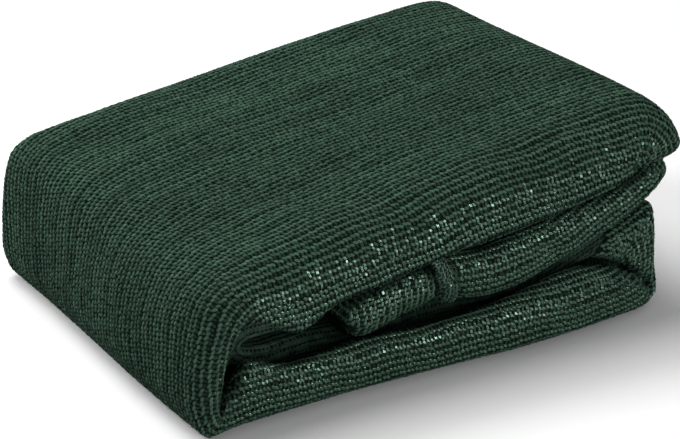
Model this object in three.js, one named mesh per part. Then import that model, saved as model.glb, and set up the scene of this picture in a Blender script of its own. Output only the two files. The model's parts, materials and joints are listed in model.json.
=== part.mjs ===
// A knitted shade net, folded into a soft package that lies on its flat underside.
// Millimetres, +Z up. X runs along the length, with the smooth fold at -X and the open lobes at +X.
// -Y is the front, where the rolled edges show.
import * as THREE from "three";

// Thickness of the knitted net, and of the turned hem on its first sections
const CLOTH = 2.4;
const HEM = 5;
const HEM_SECTIONS = 3;
const HEM_POINTS = 17;
const NET_COLOUR = 0x2e4237;

// Room between plies
const LEAST_STEP = 1.2;
const BEHIND_GAP = 2.5;
const NESTED_SHARE = 0.3;
const NESTED_INSET = 0.45;
const BEHIND_INSET = 0.6;

// The free edge at the back, and the run of the lip back under the fold
const FREE_EDGE_SHARE = 0.82;
const BACK_FACE_SHARE = 0.55;
const BACK_ROUND_LIMIT = 0.75;
const LIP_RUN = 9;
const LIP_RUN_LEAST = 16;

// Turns of the nested plies: how round they are, and where their points lie
const BACK_TURN_REACH = 0.16;
const FRONT_TURN_REACH = 0.22;
const BACK_TURN = [-1, 0, 1];
const FRONT_TURN = [-1, -0.6, 0, 0.6, 1];

// Where the front line of a ply begins and ends its way to the back line
const FRONT_LINE_Y = -95;
const BACK_LINE_Y = 105;

// The innermost plies of the hemmed end, drawn out past the others as a flat tube
const TUBE_REACH = 62;
const TUBE_DROP = 13;
const TUBE_FORWARD = 9;
const TUBE_SHARE = 0.22;
const TUBE_END_SHARE = 0.42;
const TUBE_FIRST_POINT = 20;
const TUBE_PULL = [1, 0.9, 0.66, 0.32, 0.06];

// The net is folded to a long strip, and the strip is folded back and forth along X.
// Each row is one section across the strip, in order from the hemmed end to the hidden end.
// x and z: outer ply at the front. backX and backZ: outer ply at the back. innerX and innerZ: inner ply.
// lipX and lipZ: lowest line of the turned-in lip at the front. frontY and backY: furthest front and back.
// shoulder, lipRadius, backRadius: rounding of the front shoulder, the turned-in lip and the back.
const COLUMNS = [
  "x", "z", "backX", "backZ", "innerX", "innerZ", "lipX", "lipZ",
  "frontY", "backY", "shoulder", "lipRadius", "backRadius",
];
const HEMMED_RUN = [
  [2, 33, 2, 32.5, -10, 67, -10, 67, -116, 104, 16, 13, 10],
  [13, 31, 13, 30.8, 6, 69, 6, 69.5, -116.5, 104, 16, 13, 11],
  [32, 29.8, 32, 29.8, 30, 71, 30, 72, -117, 105, 17, 14, 12],
  [58, 31.5, 58, 32, 57, 74, 57, 75, -118, 106, 17, 14, 12],
  [86, 41.5, 86, 41.5, 86, 77, 86, 78, -118, 107, 15, 12, 12],
  [114, 52, 114, 51, 112, 80, 112, 81, -118, 108, 13, 10, 12],
  [140, 63.5, 136, 62.5, 130, 83, 130, 83, -118, 110, 11, 8, 12],
];
const UPPER_LOBES = [
  [153, 71, 147, 70, 138, 83.5, 138.5, 83, -117, 111, 9, 5, 12],
  [159.5, 79, 153.5, 78, 141.5, 85, 143.5, 84, -115, 111, 8, 4, 12],
  [155.5, 87.5, 149.5, 86.5, 142.5, 87.5, 143.5, 87.5, -112, 110, 7, 3, 12],
  [166, 99, 159.5, 97.5, 141.5, 90, 143.5, 90.5, -115, 114, 10, 4, 16],
  [162, 114, 156, 111.5, 138, 91.5, 136.5, 90, -118, 119, 20, 4, 24],
  [147, 125, 142, 121.5, 129, 91, 126, 85.5, -120, 123, 30, 4, 32],
];
const TOP_RUN = [
  [118, 123.5, 115, 120.5, 114, 87, 113.5, 81, -121, 125, 34, 4, 28],
  [78, 118, 78, 116, 77, 81.5, 77, 75.5, -121, 125, 34, 4, 22],
  [36, 112, 36, 111, 36, 77.5, 36, 70.5, -121, 126, 33, 4, 20],
  [0, 107, 0, 106.5, 0, 75.5, 0, 68.5, -121, 126, 31, 4, 18],
  [-40, 101, -40, 101.5, -40, 67.5, -40, 61.5, -121, 126, 30, 4, 17],
  [-72, 97, -72, 98, -71, 62, -71, 57.5, -121, 126, 29, 4, 16],
  [-98, 93.5, -98, 95, -95, 58, -94, 48, -122, 126, 28, 4, 16],
  [-120, 90.5, -121, 92, -115, 61, -114, 54, -122, 126, 25, 4, 15],
];
const LEFT_FOLD = [
  [-139, 86, -140, 89, -127, 63, -126.5, 62, -123, 125, 20, 3.5, 14],
  [-154, 76, -152, 80.5, -137, 63, -137, 63, -124, 125, 14, 3, 12],
  [-162, 58, -157, 63, -145, 55, -145, 55, -125, 125, 8, 3, 10],
  [-165.5, 38, -159.5, 40, -150, 38, -152, 38, -126, 125, 6, 3, 10],
  [-166.5, 20, -160, 20, -151, 25, -156.5, 23, -127, 125, 5, 3.2, 10],
  [-163.5, 8, -157, 8, -150, 19.5, -155.5, 15, -127.5, 124, 4, 3.4, 10],
  [-159.5, 3.5, -153.5, 3.5, -148.5, 18, -150.5, 15.5, -127, 124, 6, 4.2, 10],
  [-153, 1.4, -149, 1.4, -145, 16.5, -142.5, 21, -126, 123, 9, 6, 10],
];
const BOTTOM_RUN = [
  [-138, 1.2, -134, 1.2, -134, 14.5, -128, 33.5, -126, 123, 13, 10, 10],
  [-100, 1.2, -100, 1.2, -100, 13.5, -100, 30.5, -125.5, 123, 13, 10, 10],
  [-57, 1.2, -57, 1.2, -57, 13.2, -57, 27, -126, 123, 13, 10, 10],
  [-5, 1.2, -5, 1.2, -5, 13.2, -5, 24, -128.5, 122, 12, 9, 10],
  [40, 1.2, 40, 1.2, 40, 13.2, 40, 24, -132, 122, 12, 9, 10],
  [85, 1.2, 85, 1.2, 85, 13.5, 85, 26.5, -132, 121, 12, 10, 10],
  [115, 1.2, 115, 1.2, 109, 15, 110, 26, -130, 120, 12, 10, 10],
  [136, 1.2, 136, 1.2, 117, 18.5, 130, 17, -126, 118, 9, 7, 10],
];
const LOWER_LOBE = [
  [144.5, 3, 143, 3, 120.5, 20, 137, 10.5, -122, 117, 6, 4, 10],
  [148.5, 8, 147, 8, 122, 22.5, 141.5, 10.5, -121, 116, 6, 3, 10],
  [149, 19, 147.5, 19, 124.5, 25.5, 140, 17, -120, 114, 7, 3.5, 12],
  [149, 36, 147, 36, 125.5, 29.5, 133.5, 23.5, -120, 112, 9, 4, 12],
  [150, 54, 147.5, 53, 125, 33.5, 126.5, 28.5, -118, 110, 10, 4, 12],
  [143.5, 61.5, 140.5, 60.5, 121.5, 37, 118, 32, -115, 108, 9, 4, 12],
  [120, 50.5, 120, 50, 112, 34, 107.5, 31.5, -109, 106, 7, 4, 10],
];
const HIDDEN_RUNS = [
  [96, 39, 96, 39, 92, 26, 91, 26, -101, 104, 5, 4, 8],
  [68, 28.5, 68, 28.5, 65, 17.5, 65, 17, -93, 102, 4, 3, 6],
  [30, 25.8, 30, 25.8, 28, 16.1, 28, 16, -90, 102, 4, 3, 5],
  [-50, 26.6, -50, 26.6, -50, 16.4, -50, 16.5, -90, 102, 4, 3, 5],
  [-104, 29.5, -104, 29.5, -104, 17.5, -104, 17.5, -93, 102, 4, 3, 5],
  [-117, 31.5, -117, 31.5, -120, 18.5, -120, 18.5, -93, 102, 4, 3, 5],
  [-120, 34.3, -120, 34.3, -134, 34, -134, 34, -94, 102, 4, 3, 5],
  [-116, 37, -116, 37, -119, 50, -119, 50, -95, 102, 4, 3, 5],
  [-104, 38, -104, 38, -104, 51, -104, 51, -96, 102, 4, 3, 5],
  [-79, 38, -79, 38, -79, 50.5, -79, 50.5, -96, 102, 4, 3, 5],
];
// nestedGap: room behind the front edge before the nested plies. steps: sections for each row.
const RUNS = [
  { rows: HEMMED_RUN, nestedGap: 3, steps: 2 },
  { rows: UPPER_LOBES, nestedGap: 17, steps: 2 },
  { rows: TOP_RUN, nestedGap: 3, steps: 2 },
  { rows: LEFT_FOLD, nestedGap: 17, steps: 2 },
  { rows: BOTTOM_RUN, nestedGap: 3, steps: 2 },
  { rows: LOWER_LOBE, nestedGap: 17, steps: 2 },
  { rows: HIDDEN_RUNS, nestedGap: 8, steps: 1 },
];
const CURVE_TENSION = 0.4;
const QUARTER_TURN = [0, 22.5, 45, 67.5, 90].map(THREE.MathUtils.degToRad);

const { clamp, lerp, smoothstep } = THREE.MathUtils;

function named(row, { nestedGap, steps }) {
  const values = COLUMNS.map((name, i) => [name, row[i]]);
  return { ...Object.fromEntries(values), nestedGap, steps };
}

// A section between two rows, on a smooth curve through their neighbours.
function blendRows(before, from, to, after, t) {
  const square = t * t;
  const cube = square * t;
  const row = {};
  for (const name of [...COLUMNS, "nestedGap"]) {
    const leave = CURVE_TENSION * (to[name] - before[name]);
    const arrive = CURVE_TENSION * (after[name] - from[name]);
    row[name] = (2 * cube - 3 * square + 1) * from[name] + (cube - 2 * square + t) * leave
      + (3 * square - 2 * cube) * to[name] + (cube - square) * arrive;
  }
  return row;
}

function smoothRows() {
  const rows = RUNS.flatMap((run) => run.rows.map((row) => named(row, run)));
  const last = rows.length - 1;
  const sections = [];
  for (let i = 0; i < last; i++) {
    const before = rows[Math.max(i - 1, 0)];
    const after = rows[Math.min(i + 2, last)];
    for (let k = 0; k < rows[i].steps; k++) {
      sections.push(blendRows(before, rows[i], rows[i + 1], after, k / rows[i].steps));
    }
  }
  sections.push(rows[last]);
  return sections;
}

// A half-round turn from one ply to the next, with its furthest point at y.
function turn(y, reach, fromDepth, toDepth, stations) {
  return stations.map((t) => [y + reach * (1 - Math.sqrt(1 - t * t)), lerp(fromDepth, toDepth, 0.5 * (1 + t))]);
}

// The plies of one section, from the free edge at the back to the innermost end.
// Each point has its y and its way from the outer ply, as shares of the way to the inner ply and to the lip.
function section(row, nestedShare) {
  const { frontY, backY, shoulder, lipRadius } = row;
  const depth = Math.hypot(row.innerX - row.x, row.innerZ - row.z);
  const lipDepth = Math.hypot(row.lipX - row.x, row.lipZ - row.z);
  const shoulderDrop = Math.max(Math.min(shoulder, lipDepth - lipRadius - LEAST_STEP), LEAST_STEP);
  const backRadius = Math.min(row.backRadius, BACK_ROUND_LIMIT * depth);
  const behindY = backY - BEHIND_INSET * backRadius - CLOTH - BEHIND_GAP;
  const lipEndY = frontY + Math.max(2 * lipRadius + LIP_RUN, LIP_RUN_LEAST);
  const nestedY = frontY + NESTED_INSET * shoulder + CLOTH + row.nestedGap;
  const upper = nestedShare * depth;
  const lower = (1 - nestedShare) * depth;
  const inwards = ([y, down]) => ({ y, inner: down / depth, lip: 0 });
  const lipwards = ([y, down]) => ({ y, inner: 0, lip: down / lipDepth });

  const freeEdge = [
    [backY - 1, FREE_EDGE_SHARE * depth],
    [backY, Math.max(BACK_FACE_SHARE * depth, backRadius)],
  ];
  const backShoulder = QUARTER_TURN.slice(1).map((a) => [
    backY - backRadius * (1 - Math.cos(a)),
    backRadius * (1 - Math.sin(a)),
  ]);
  const outerPly = [0.33, 0.67].map((t) => [lerp(backY - backRadius, frontY + shoulder, t), 0]);
  const frontShoulder = QUARTER_TURN.map((a) => [
    frontY + shoulder * (1 - Math.sin(a)),
    shoulderDrop * (1 - Math.cos(a)),
  ]);
  const turnedLip = [QUARTER_TURN[0], QUARTER_TURN[2], QUARTER_TURN[4]].map((a) => [
    frontY + lipRadius * (1 - Math.cos(a)),
    lipDepth - lipRadius * (1 - Math.sin(a)),
  ]);
  const lipReturn = { y: frontY + 1.7 * lipRadius, inner: 0.3, lip: 0.7 * (1 - 0.3 * lipRadius / lipDepth) };
  const innerPly = [0, 0.5].map((t) => [lerp(lipEndY, behindY, t), depth]);
  const backTurn = turn(behindY, -BACK_TURN_REACH * depth, depth, upper, BACK_TURN);
  const nestedPly = [lerp(nestedY, behindY, 0.5), upper];
  const frontTurn = turn(nestedY, FRONT_TURN_REACH * depth, upper, lower, FRONT_TURN);
  const lastPly = [0.4, 0.8].map((t) => [lerp(nestedY, behindY, t), lower]);
  return [
    ...[...freeEdge, ...backShoulder, ...outerPly].map(inwards),
    ...[...frontShoulder, ...turnedLip].map(lipwards),
    lipReturn,
    ...[...innerPly, ...backTurn, nestedPly, ...frontTurn, ...lastPly].map(inwards),
  ];
}

// A point of a section in space: each ply runs from its front line to its back line.
function place(row, { y, inner, lip }) {
  const toBack = smoothstep(y, FRONT_LINE_Y, BACK_LINE_Y);
  const x = row.x + (row.innerX - row.x) * inner + (row.lipX - row.x) * lip + (row.backX - row.x) * toBack;
  const z = row.z + (row.innerZ - row.z) * inner + (row.lipZ - row.z) * lip + (row.backZ - row.z) * toBack;
  return new THREE.Vector3(x, y, Math.max(z, CLOTH / 2));
}

function foldedNet() {
  return smoothRows().map((row, i) => {
    const tubeShare = i === 0 ? TUBE_END_SHARE : TUBE_SHARE;
    const nestedShare = i < TUBE_PULL.length ? tubeShare : NESTED_SHARE;
    return section(row, nestedShare).map((point) => place(row, point));
  });
}

function drawOutTube(grid) {
  TUBE_PULL.forEach((pull, i) => {
    for (let k = TUBE_FIRST_POINT; k < grid[i].length; k++) {
      const share = Math.min((k - TUBE_FIRST_POINT + 1) / 4, 1);
      grid[i][k].x -= TUBE_REACH * share * pull;
      grid[i][k].y -= TUBE_FORWARD * share * pull;
      grid[i][k].z -= TUBE_DROP * share * pull * pull;
    }
  });
}

// A closed sheet on a grid of points, with half its thickness on each side of them.
function sheetGeometry(grid, thicknessAt) {
  const rows = grid.length;
  const columns = grid[0].length;
  const positions = [];
  const at = (i, k) => grid[clamp(i, 0, rows - 1)][clamp(k, 0, columns - 1)];
  for (const side of [0.5, -0.5]) {
    for (let i = 0; i < rows; i++) {
      for (let k = 0; k < columns; k++) {
        const along = new THREE.Vector3().subVectors(at(i + 1, k), at(i - 1, k));
        const across = new THREE.Vector3().subVectors(at(i, k + 1), at(i, k - 1));
        const normal = along.cross(across).normalize();
        const point = at(i, k).clone().addScaledVector(normal, side * thicknessAt(i, k));
        positions.push(point.x, point.y, Math.max(point.z, 0));
      }
    }
  }
  const outside = (i, k) => i * columns + k;
  const inside = (i, k) => rows * columns + i * columns + k;
  const index = [];
  const quad = (a, b, c, d) => index.push(a, b, c, a, c, d);
  const lastColumn = columns - 1;
  const lastRow = rows - 1;
  for (let i = 0; i < lastRow; i++) {
    for (let k = 0; k < lastColumn; k++) {
      quad(outside(i, k), outside(i + 1, k), outside(i + 1, k + 1), outside(i, k + 1));
      quad(inside(i, k), inside(i, k + 1), inside(i + 1, k + 1), inside(i + 1, k));
    }
    quad(outside(i, 0), inside(i, 0), inside(i + 1, 0), outside(i + 1, 0));
    quad(outside(i, lastColumn), outside(i + 1, lastColumn), inside(i + 1, lastColumn), inside(i, lastColumn));
  }
  for (let k = 0; k < lastColumn; k++) {
    quad(outside(0, k), outside(0, k + 1), inside(0, k + 1), inside(0, k));
    quad(outside(lastRow, k), inside(lastRow, k), inside(lastRow, k + 1), outside(lastRow, k + 1));
  }
  const geometry = new THREE.BufferGeometry();
  geometry.setAttribute("position", new THREE.Float32BufferAttribute(positions, 3));
  geometry.setIndex(index);
  geometry.computeVertexNormals();
  return geometry;
}

// The package stands with the middle of its box over the origin.
function centred(geometry) {
  geometry.computeBoundingBox();
  const middle = geometry.boundingBox.getCenter(new THREE.Vector3());
  return geometry.translate(-middle.x, -middle.y, 0);
}

const grid = foldedNet();
drawOutTube(grid);
const hemOrCloth = (i, k) => (i < HEM_SECTIONS && k < HEM_POINTS ? HEM : CLOTH);
const net = new THREE.Mesh(
  centred(sheetGeometry(grid, hemOrCloth)),
  new THREE.MeshStandardMaterial({ color: NET_COLOUR, roughness: 0.6, metalness: 0 }),
);
net.name = "shade_net";

const part = new THREE.Group();
part.name = "folded_shade_net";
part.add(net);
export default part;
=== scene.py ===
"""A knitted dark green shade net, folded into a soft package on a pale floor."""
import json
import math
from functools import partial
from types import SimpleNamespace

import bpy
import numpy as np
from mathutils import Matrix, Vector

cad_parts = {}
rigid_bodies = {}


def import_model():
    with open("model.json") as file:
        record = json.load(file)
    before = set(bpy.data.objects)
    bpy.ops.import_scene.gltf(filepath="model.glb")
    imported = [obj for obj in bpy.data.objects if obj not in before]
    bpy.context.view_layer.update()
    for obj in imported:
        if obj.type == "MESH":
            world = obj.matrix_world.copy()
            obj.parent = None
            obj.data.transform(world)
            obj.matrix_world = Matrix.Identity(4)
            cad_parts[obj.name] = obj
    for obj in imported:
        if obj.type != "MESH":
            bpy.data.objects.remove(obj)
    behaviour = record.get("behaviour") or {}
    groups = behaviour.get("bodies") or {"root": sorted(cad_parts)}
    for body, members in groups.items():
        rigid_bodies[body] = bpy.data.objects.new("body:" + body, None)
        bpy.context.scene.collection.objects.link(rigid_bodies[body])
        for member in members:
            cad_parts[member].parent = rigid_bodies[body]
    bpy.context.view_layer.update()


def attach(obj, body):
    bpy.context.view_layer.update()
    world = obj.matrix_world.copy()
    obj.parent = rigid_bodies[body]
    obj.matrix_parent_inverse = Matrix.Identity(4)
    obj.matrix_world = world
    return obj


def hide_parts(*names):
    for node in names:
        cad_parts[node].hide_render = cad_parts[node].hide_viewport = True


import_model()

bl_info = {
    "name": "Folded shade net",
    "version": (1, 0, 0),
    "blender": (4, 5, 0),
    "location": "3D View > Sidebar > Shade net",
    "description": "Lays out a folded shade net with its knit, hem and folds",
    "category": "Add Mesh",
}

MM = 0.001
LEAST_LENGTH = 1e-9
NET_NODE = "shade_net"
NET_PIECE = "folded_net"
KNIT_MAP = "knit"
COVERED = "covered"

# The tables are in millimetres, and the package is moved so that the middle of its box is over the origin
MIDDLE_X = -0.28
MIDDLE_Y = -3.16

# Thickness of the net and of what lies close under it
CLOTH = 2.4

# The net is folded to a long strip, and the strip is folded back and forth along X.
# Each row is one section across the strip, in order from the hemmed end to the hidden end.
# x and z: outer ply at the front. back_x and back_z: outer ply at the back. inner_x and inner_z: inner ply.
# lip_x and lip_z: lowest line of the turned-in lip at the front. front_y and back_y: furthest front and back.
# shoulder, lip_radius, back_radius: rounding of the front shoulder, the turned-in lip and the back.
COLUMNS = (
    "x", "z", "back_x", "back_z", "inner_x", "inner_z", "lip_x", "lip_z",
    "front_y", "back_y", "shoulder", "lip_radius", "back_radius", "nested_gap",
)
HEMMED_RUN = (
    (0, 40, 0, 39.5, -12, 67.5, -12, 67.5, -115.5, 104, 15, 11, 10),
    (13, 34, 13, 33.8, 5, 63.5, 5, 64, -115.5, 104, 16, 12, 11),
    (32, 29.8, 32, 29.8, 30, 58.5, 30, 59, -115.5, 105, 15, 11, 12),
    (58, 31.5, 58, 32, 57, 63.5, 57, 64.5, -116, 106, 15, 11, 12),
    (86, 41.5, 86, 41.5, 86, 69, 86, 70, -116, 107, 12, 9, 12),
    (114, 52, 114, 51, 112, 73.5, 112, 74, -116.5, 108, 9, 7, 12),
    (140, 63.5, 136, 62.5, 130, 78.5, 130, 78.5, -116, 110, 9, 6, 12),
)
UPPER_LOBES = (
    (153, 71, 147, 70, 138, 82, 138.5, 81.5, -115, 111, 9, 5, 12),
    (161.5, 79, 154, 78, 141.5, 85, 144.5, 84, -112.5, 111, 8, 4, 12),
    (161, 87, 152.5, 86.5, 142.5, 87.5, 145, 87.5, -108.5, 110, 6, 3, 12),
    (168, 98, 160.5, 97.5, 141.5, 90, 144, 90.5, -117, 114, 10, 4, 16),
    (162, 114, 156, 111.5, 138, 92.5, 136.5, 91, -119, 119, 20, 4, 24),
    (147, 125, 142, 121.5, 129, 92, 126, 87, -120, 123, 30, 4, 32),
)
TOP_RUN = (
    (118, 123.5, 115, 120.5, 114, 88, 113.5, 82.5, -121, 125, 34, 4, 28),
    (78, 118, 78, 116, 77, 82.5, 77, 77, -121, 125, 34, 4, 22),
    (36, 112, 36, 111, 36, 78.5, 36, 72, -121, 126, 33, 4, 20),
    (0, 107, 0, 106.5, 0, 76.5, 0, 70, -121, 126, 31, 4, 18),
    (-40, 101, -40, 101.5, -40, 68.5, -40, 63.5, -121, 126, 30, 4, 17),
    (-72, 97, -72, 98, -72, 63.5, -72, 60, -121, 126, 29, 4, 16),
    (-98, 93.5, -98, 95, -97, 58, -97, 49, -122, 126, 28, 4, 16),
    (-120, 90.5, -121, 92, -116, 61.5, -115.5, 56.5, -122, 126, 25, 4, 15),
)
LEFT_FOLD = (
    (-139, 86, -140, 89, -127, 63, -127.5, 62.5, -123, 125, 20, 4, 14),
    (-154, 76, -152, 80.5, -136, 62.5, -135, 61.5, -124, 125, 15, 4, 12),
    (-162, 58, -157, 63, -143, 54, -142.5, 53.5, -125, 125, 13, 5, 10),
    (-165.5, 38, -159.5, 40, -148, 38, -148.5, 38, -126, 125, 12, 5, 10),
    (-166.5, 20, -160, 20, -149.5, 25, -152, 24, -127, 125, 10, 4.5, 10),
    (-163.5, 8, -157, 8, -149, 20, -152.5, 16, -127.5, 124, 8, 4, 10),
    (-159.5, 3.5, -153.5, 3.5, -147.5, 19.5, -149.5, 19.5, -127, 124, 6, 4.2, 10),
    (-153, 1.4, -149, 1.4, -144, 18.5, -143.5, 27, -126, 123, 9, 6, 10),
)
BOTTOM_RUN = (
    (-138, 1.2, -134, 1.2, -134, 15.5, -131, 38, -126, 123, 13, 10, 10),
    (-104, 1.2, -104, 1.2, -104, 13.5, -103, 29, -125.5, 123, 13, 9, 10),
    (-60, 1.2, -60, 1.2, -60, 13.2, -60, 31, -126, 123, 13, 10, 10),
    (-5, 1.2, -5, 1.2, -5, 13.2, -5, 28.5, -128.5, 122, 12, 11, 10),
    (40, 1.2, 40, 1.2, 40, 13.2, 40, 31, -132, 122, 12, 14, 10),
    (85, 1.2, 85, 1.2, 85, 13.5, 85, 37, -132, 121, 12, 16, 10),
    (115, 1.2, 115, 1.2, 109, 15, 110, 33.5, -130, 120, 12, 12, 10),
    (136, 1.2, 136, 1.2, 117, 18.5, 131, 23.5, -126, 118, 9, 8, 10),
)
LOWER_LOBE = (
    (144.5, 3, 143, 3, 120.5, 20, 139.5, 14, -122, 117, 6, 4, 10),
    (148.5, 8, 147, 8, 122, 22.5, 143.5, 11.5, -121, 116, 6, 3, 10),
    (149, 19, 147.5, 19, 124.5, 25.5, 142, 16.5, -120, 114, 7, 3.5, 12),
    (149, 36, 147, 36, 125.5, 29.5, 135.5, 23.5, -120, 112, 9, 4, 12),
    (150, 54, 147.5, 53, 125, 33.5, 127, 29.5, -118, 110, 10, 4, 12),
    (146.5, 62, 143, 60.5, 121.5, 37, 118, 34.5, -116, 108, 9, 4, 12),
    (120, 50.5, 120, 50, 112, 36, 107.5, 36, -110, 106, 7, 4, 10),
)
HIDDEN_RUNS = (
    (96, 39, 96, 39, 92, 26, 91, 26, -101, 104, 5, 4, 8),
    (68, 28.5, 68, 28.5, 65, 17.5, 65, 17, -93, 102, 4, 3, 6),
    (30, 25.8, 30, 25.8, 28, 16.1, 28, 16, -90, 102, 4, 3, 5),
    (-50, 26.6, -50, 26.6, -50, 16.4, -50, 16.5, -90, 102, 4, 3, 5),
    (-104, 29.5, -104, 29.5, -104, 17.5, -104, 17.5, -93, 102, 4, 3, 5),
    (-117, 31.5, -117, 31.5, -120, 18.5, -120, 18.5, -93, 102, 4, 3, 5),
    (-120, 34.3, -120, 34.3, -134, 34, -134, 34, -94, 102, 4, 3, 5),
    (-116, 37, -116, 37, -119, 50, -119, 50, -95, 102, 4, 3, 5),
    (-104, 38, -104, 38, -104, 51, -104, 51, -96, 102, 4, 3, 5),
    (-79, 38, -79, 38, -79, 50.5, -79, 50.5, -96, 102, 4, 3, 5),
)
# Rows, room behind the front edge before the nested plies, and distance between sections
RUNS = (
    (HEMMED_RUN, 3, 1.3),
    (UPPER_LOBES, 17, 2.0),
    (TOP_RUN, 3, 2.6),
    (LEFT_FOLD, 17, 2.0),
    (BOTTOM_RUN, 3, 2.6),
    (LOWER_LOBE, 17, 2.0),
    (HIDDEN_RUNS, 8, 9.0),
)
CURVE_TENSION = 0.4

# Room between plies, the free edge at the back, and the run of the lip back under the fold
LEAST_STEP = 1.2
BEHIND_GAP = 2.5
NESTED_INSET = 0.45
BEHIND_INSET = 0.6
FREE_EDGE_SHARE = 0.82
FREE_EDGE_INSET = 1
LAST_PLY_SHARE = 0.8
BACK_FACE_SHARE = 0.55
BACK_ROUND_LIMIT = 0.75
LIP_RUN = 9
LIP_RUN_LEAST = 16
# The knee of the lip's way back: lip radii behind the front, shares of the ways to the inner ply and the lip
KNEE_REACH = 1.7
KNEE_INNER = 0.3
KNEE_LIP = 0.7
KNEE_RISE = 0.3
# Reach of the turns between plies, as a share of the depth, and the y of a ply's front and back lines
BACK_TURN_REACH = 0.16
FRONT_TURN_REACH = 0.22
FRONT_LINE_Y = -95
BACK_LINE_Y = 105

# The innermost plies of the hemmed end, drawn out past the others as a flat tube
TUBE_REACH = 59
TUBE_FIRST_PLACE = 19
TUBE_FULL_PLACE = 23
TUBE_ROWS = (0, 0.1, 0.2, 0.4, 0.7, 1, 1.5, 2, 2.5)
TUBE_PULL = (1, 0.99, 0.975, 0.93, 0.83, 0.67, 0.34, 0.07, 0)
TUBE_FORWARD = (14, 16, 17, 17.5, 17, 16, 11, 2, 0)
TUBE_LIFT = (-12.5, -12.5, -11.5, -9.5, -5.5, -0.5, 3.5, 2.5, 0)
NESTED_SHARE = (0.46, 0.27, 0.21, 0.18, 0.17, 0.17, 0.19, 0.24, 0.28)

# Soft creases and ridges of the outer ply: from and to in space, width, and height over the plain fold
CREASES = (
    ((-150, 98, 92), (40, 106, 109), 5, 1.3),
    ((-146, 74, 90), (10, 84, 107), 8, -1.0),
    ((-150, 40, 88), (60, 56, 114), 11, 1.0),
    ((-70, -6, 98), (130, 16, 121), 13, -1.3),
    ((-140, -38, 88), (-10, -60, 105), 12, -0.9),
    ((20, -70, 108), (140, -92, 112), 9, -1.2),
    ((-150, 60, 70), (-158, 66, 8), 7, -1.2),
    ((-160, -30, 66), (-166, -44, 10), 9, 1.1),
    ((-96, -118, 28), (-70, -126, 10), 6, -1.6),
    ((-30, -126, 20), (30, -132, 12), 7, -1.2),
    ((50, -110, 68), (82, -117, 48), 4.5, -3.0),
    ((61, -110, 69), (96, -117, 50), 6, 1.8),
)
CREASE_END = 0.02
CREASED_PLACES = (1.0, 2.0, 12.5, 14.0)
CREASED_SHARE = (0.0, 1.0, 1.0, 0.0)
# Slow bends of the chains in the plane of the cloth: height, length along and across the strip, and start
BENDS = ((1.5, 190, 310, 0.4), (0.8, 83, 170, 2.1), (0.5, 47, 66, 4.0))

# The hem at the first row, turned back outwards: share of its width from the edge, and height over the cloth
HEM_SECTION = (
    (1.0, 1.0), (1.03, 2.6), (0.96, 4.0), (0.8, 4.6), (0.5, 4.8), (0.2, 4.5),
    (0.04, 3.6), (-0.05, 2.1), (-0.04, 0.8),
)
HEM_STATIONS = (-1, -0.1)
HEM_INWARD_ROW = 3
HEM_PLACES = (0, 12, 16, 18, 20)
HEM_WIDTHS = (12, 13, 9, 8, 2)

# Stretches of a section from the free edge at the back to its inner end: first place, last place and steps
FREE_EDGE = (0, 1, 3)
BACK_FACE = (1, 1.5, 3)
BACK_ROUND = (1.5, 5, 9)
OUTER_PLY = (5, 8, 44)
FRONT_ROUND = (8, 12, 18)
FRONT_FACE = (12, 13, 7)
LIP_ROUND = (13, 15, 8)
LIP_RETURN = (15, 17, 8)
INNER_PLY = (17, 19, 12)
BEHIND_TURN = (19, 21, 6)
NESTED_PLY = (21, 23, 14)
NESTED_TURN = (23, 27, 14)
LAST_PLY = (27, 29, 8)
# Where lengths across the strip start, and where lengths along it are taken anew, at the lip and inside
OUTER_POINT = 7
LIP_POINT = 12
INNER_POINT = 16

# Where the knit is made stitch by stitch: rows of the tables and places on a section, from and to
STITCHED_PARTS = (
    ("knit_hem_roll", 1.1, 6.5, 7.6, 16.6),
    ("knit_hem_back", 0.0, 6.5, 0.0, 5.3),
    ("knit_upper_lobes", 6.5, 12.6, 0.0, 16.6),
    ("knit_top_back", 12.6, 20.6, 0.0, 6.6),
    ("knit_top_front", 12.6, 20.6, 6.6, 10.9),
    ("knit_top_lip", 12.6, 20.6, 10.9, 16.4),
    ("knit_left_fold", 20.6, 28.6, 0.0, 16.4),
    ("knit_bottom_roll", 28.6, 36.6, 7.9, 16.6),
    ("knit_bottom_back", 28.6, 36.6, 0.0, 5.3),
    ("knit_lower_lobe", 36.6, 43.0, 0.0, 16.6),
)
# How far the line between two parts strays from stitch to stitch, and the parts that have the rolled edges
PART_WANDER = 0.45
ROLLED_PIECES = (
    "knit_top_lip", "knit_hem", "knit_tube", "knit_hem_roll", "knit_bottom_roll", "knit_lower_lobe",
)
LAST_STITCHED_ROW = 43.0
LAST_STITCHED_PLACE = 16.6
HEM_STITCHED_ROW = -0.08
HEM_STITCH_SCALE = 0.7
LAST_HEM_PLACE = 17.5
LAST_TUBE_ROW = 2.6
FIRST_TUBE_PLACE = 21.5
STITCH_SEED = 7
TUBE_SEED = 8
HEM_SEED = 9
WANDER_SEED = 10
STITCH_INPUTS = (
    ("Geometry", "NodeSocketGeometry"), ("Stitches", "NodeSocketCollection"), ("Size", "NodeSocketFloat"),
    ("Lean", "NodeSocketFloat"), ("Seed", "NodeSocketInt"), ("Material", "NodeSocketMaterial"),
)
# Depth of the sheet under the outer face of the cloth, and least height of a stitch over the floor
SHEET_INSET = 0.9
FLOOR_CLEARANCE = 0.9
# Rows between two turns of a chain's sway; shares of a stitch for the chance in its place and for its heading
SWAY_STEP = 12
STITCH_JITTER = 0.1
HEADING_REACH = 0.4
# Chance in the pull to one side, as a share of the pull itself
STRAY_SHARE = 0.6
# How far a stitch leans from the cloth under it towards the line to the next chain
CHORD_SHARE = 0.55
# Where the folds draw the chains closer than this share of their spacing, every other one is left out,
# and three in four where they are closer than half of it
CROWDED = 0.6
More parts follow.
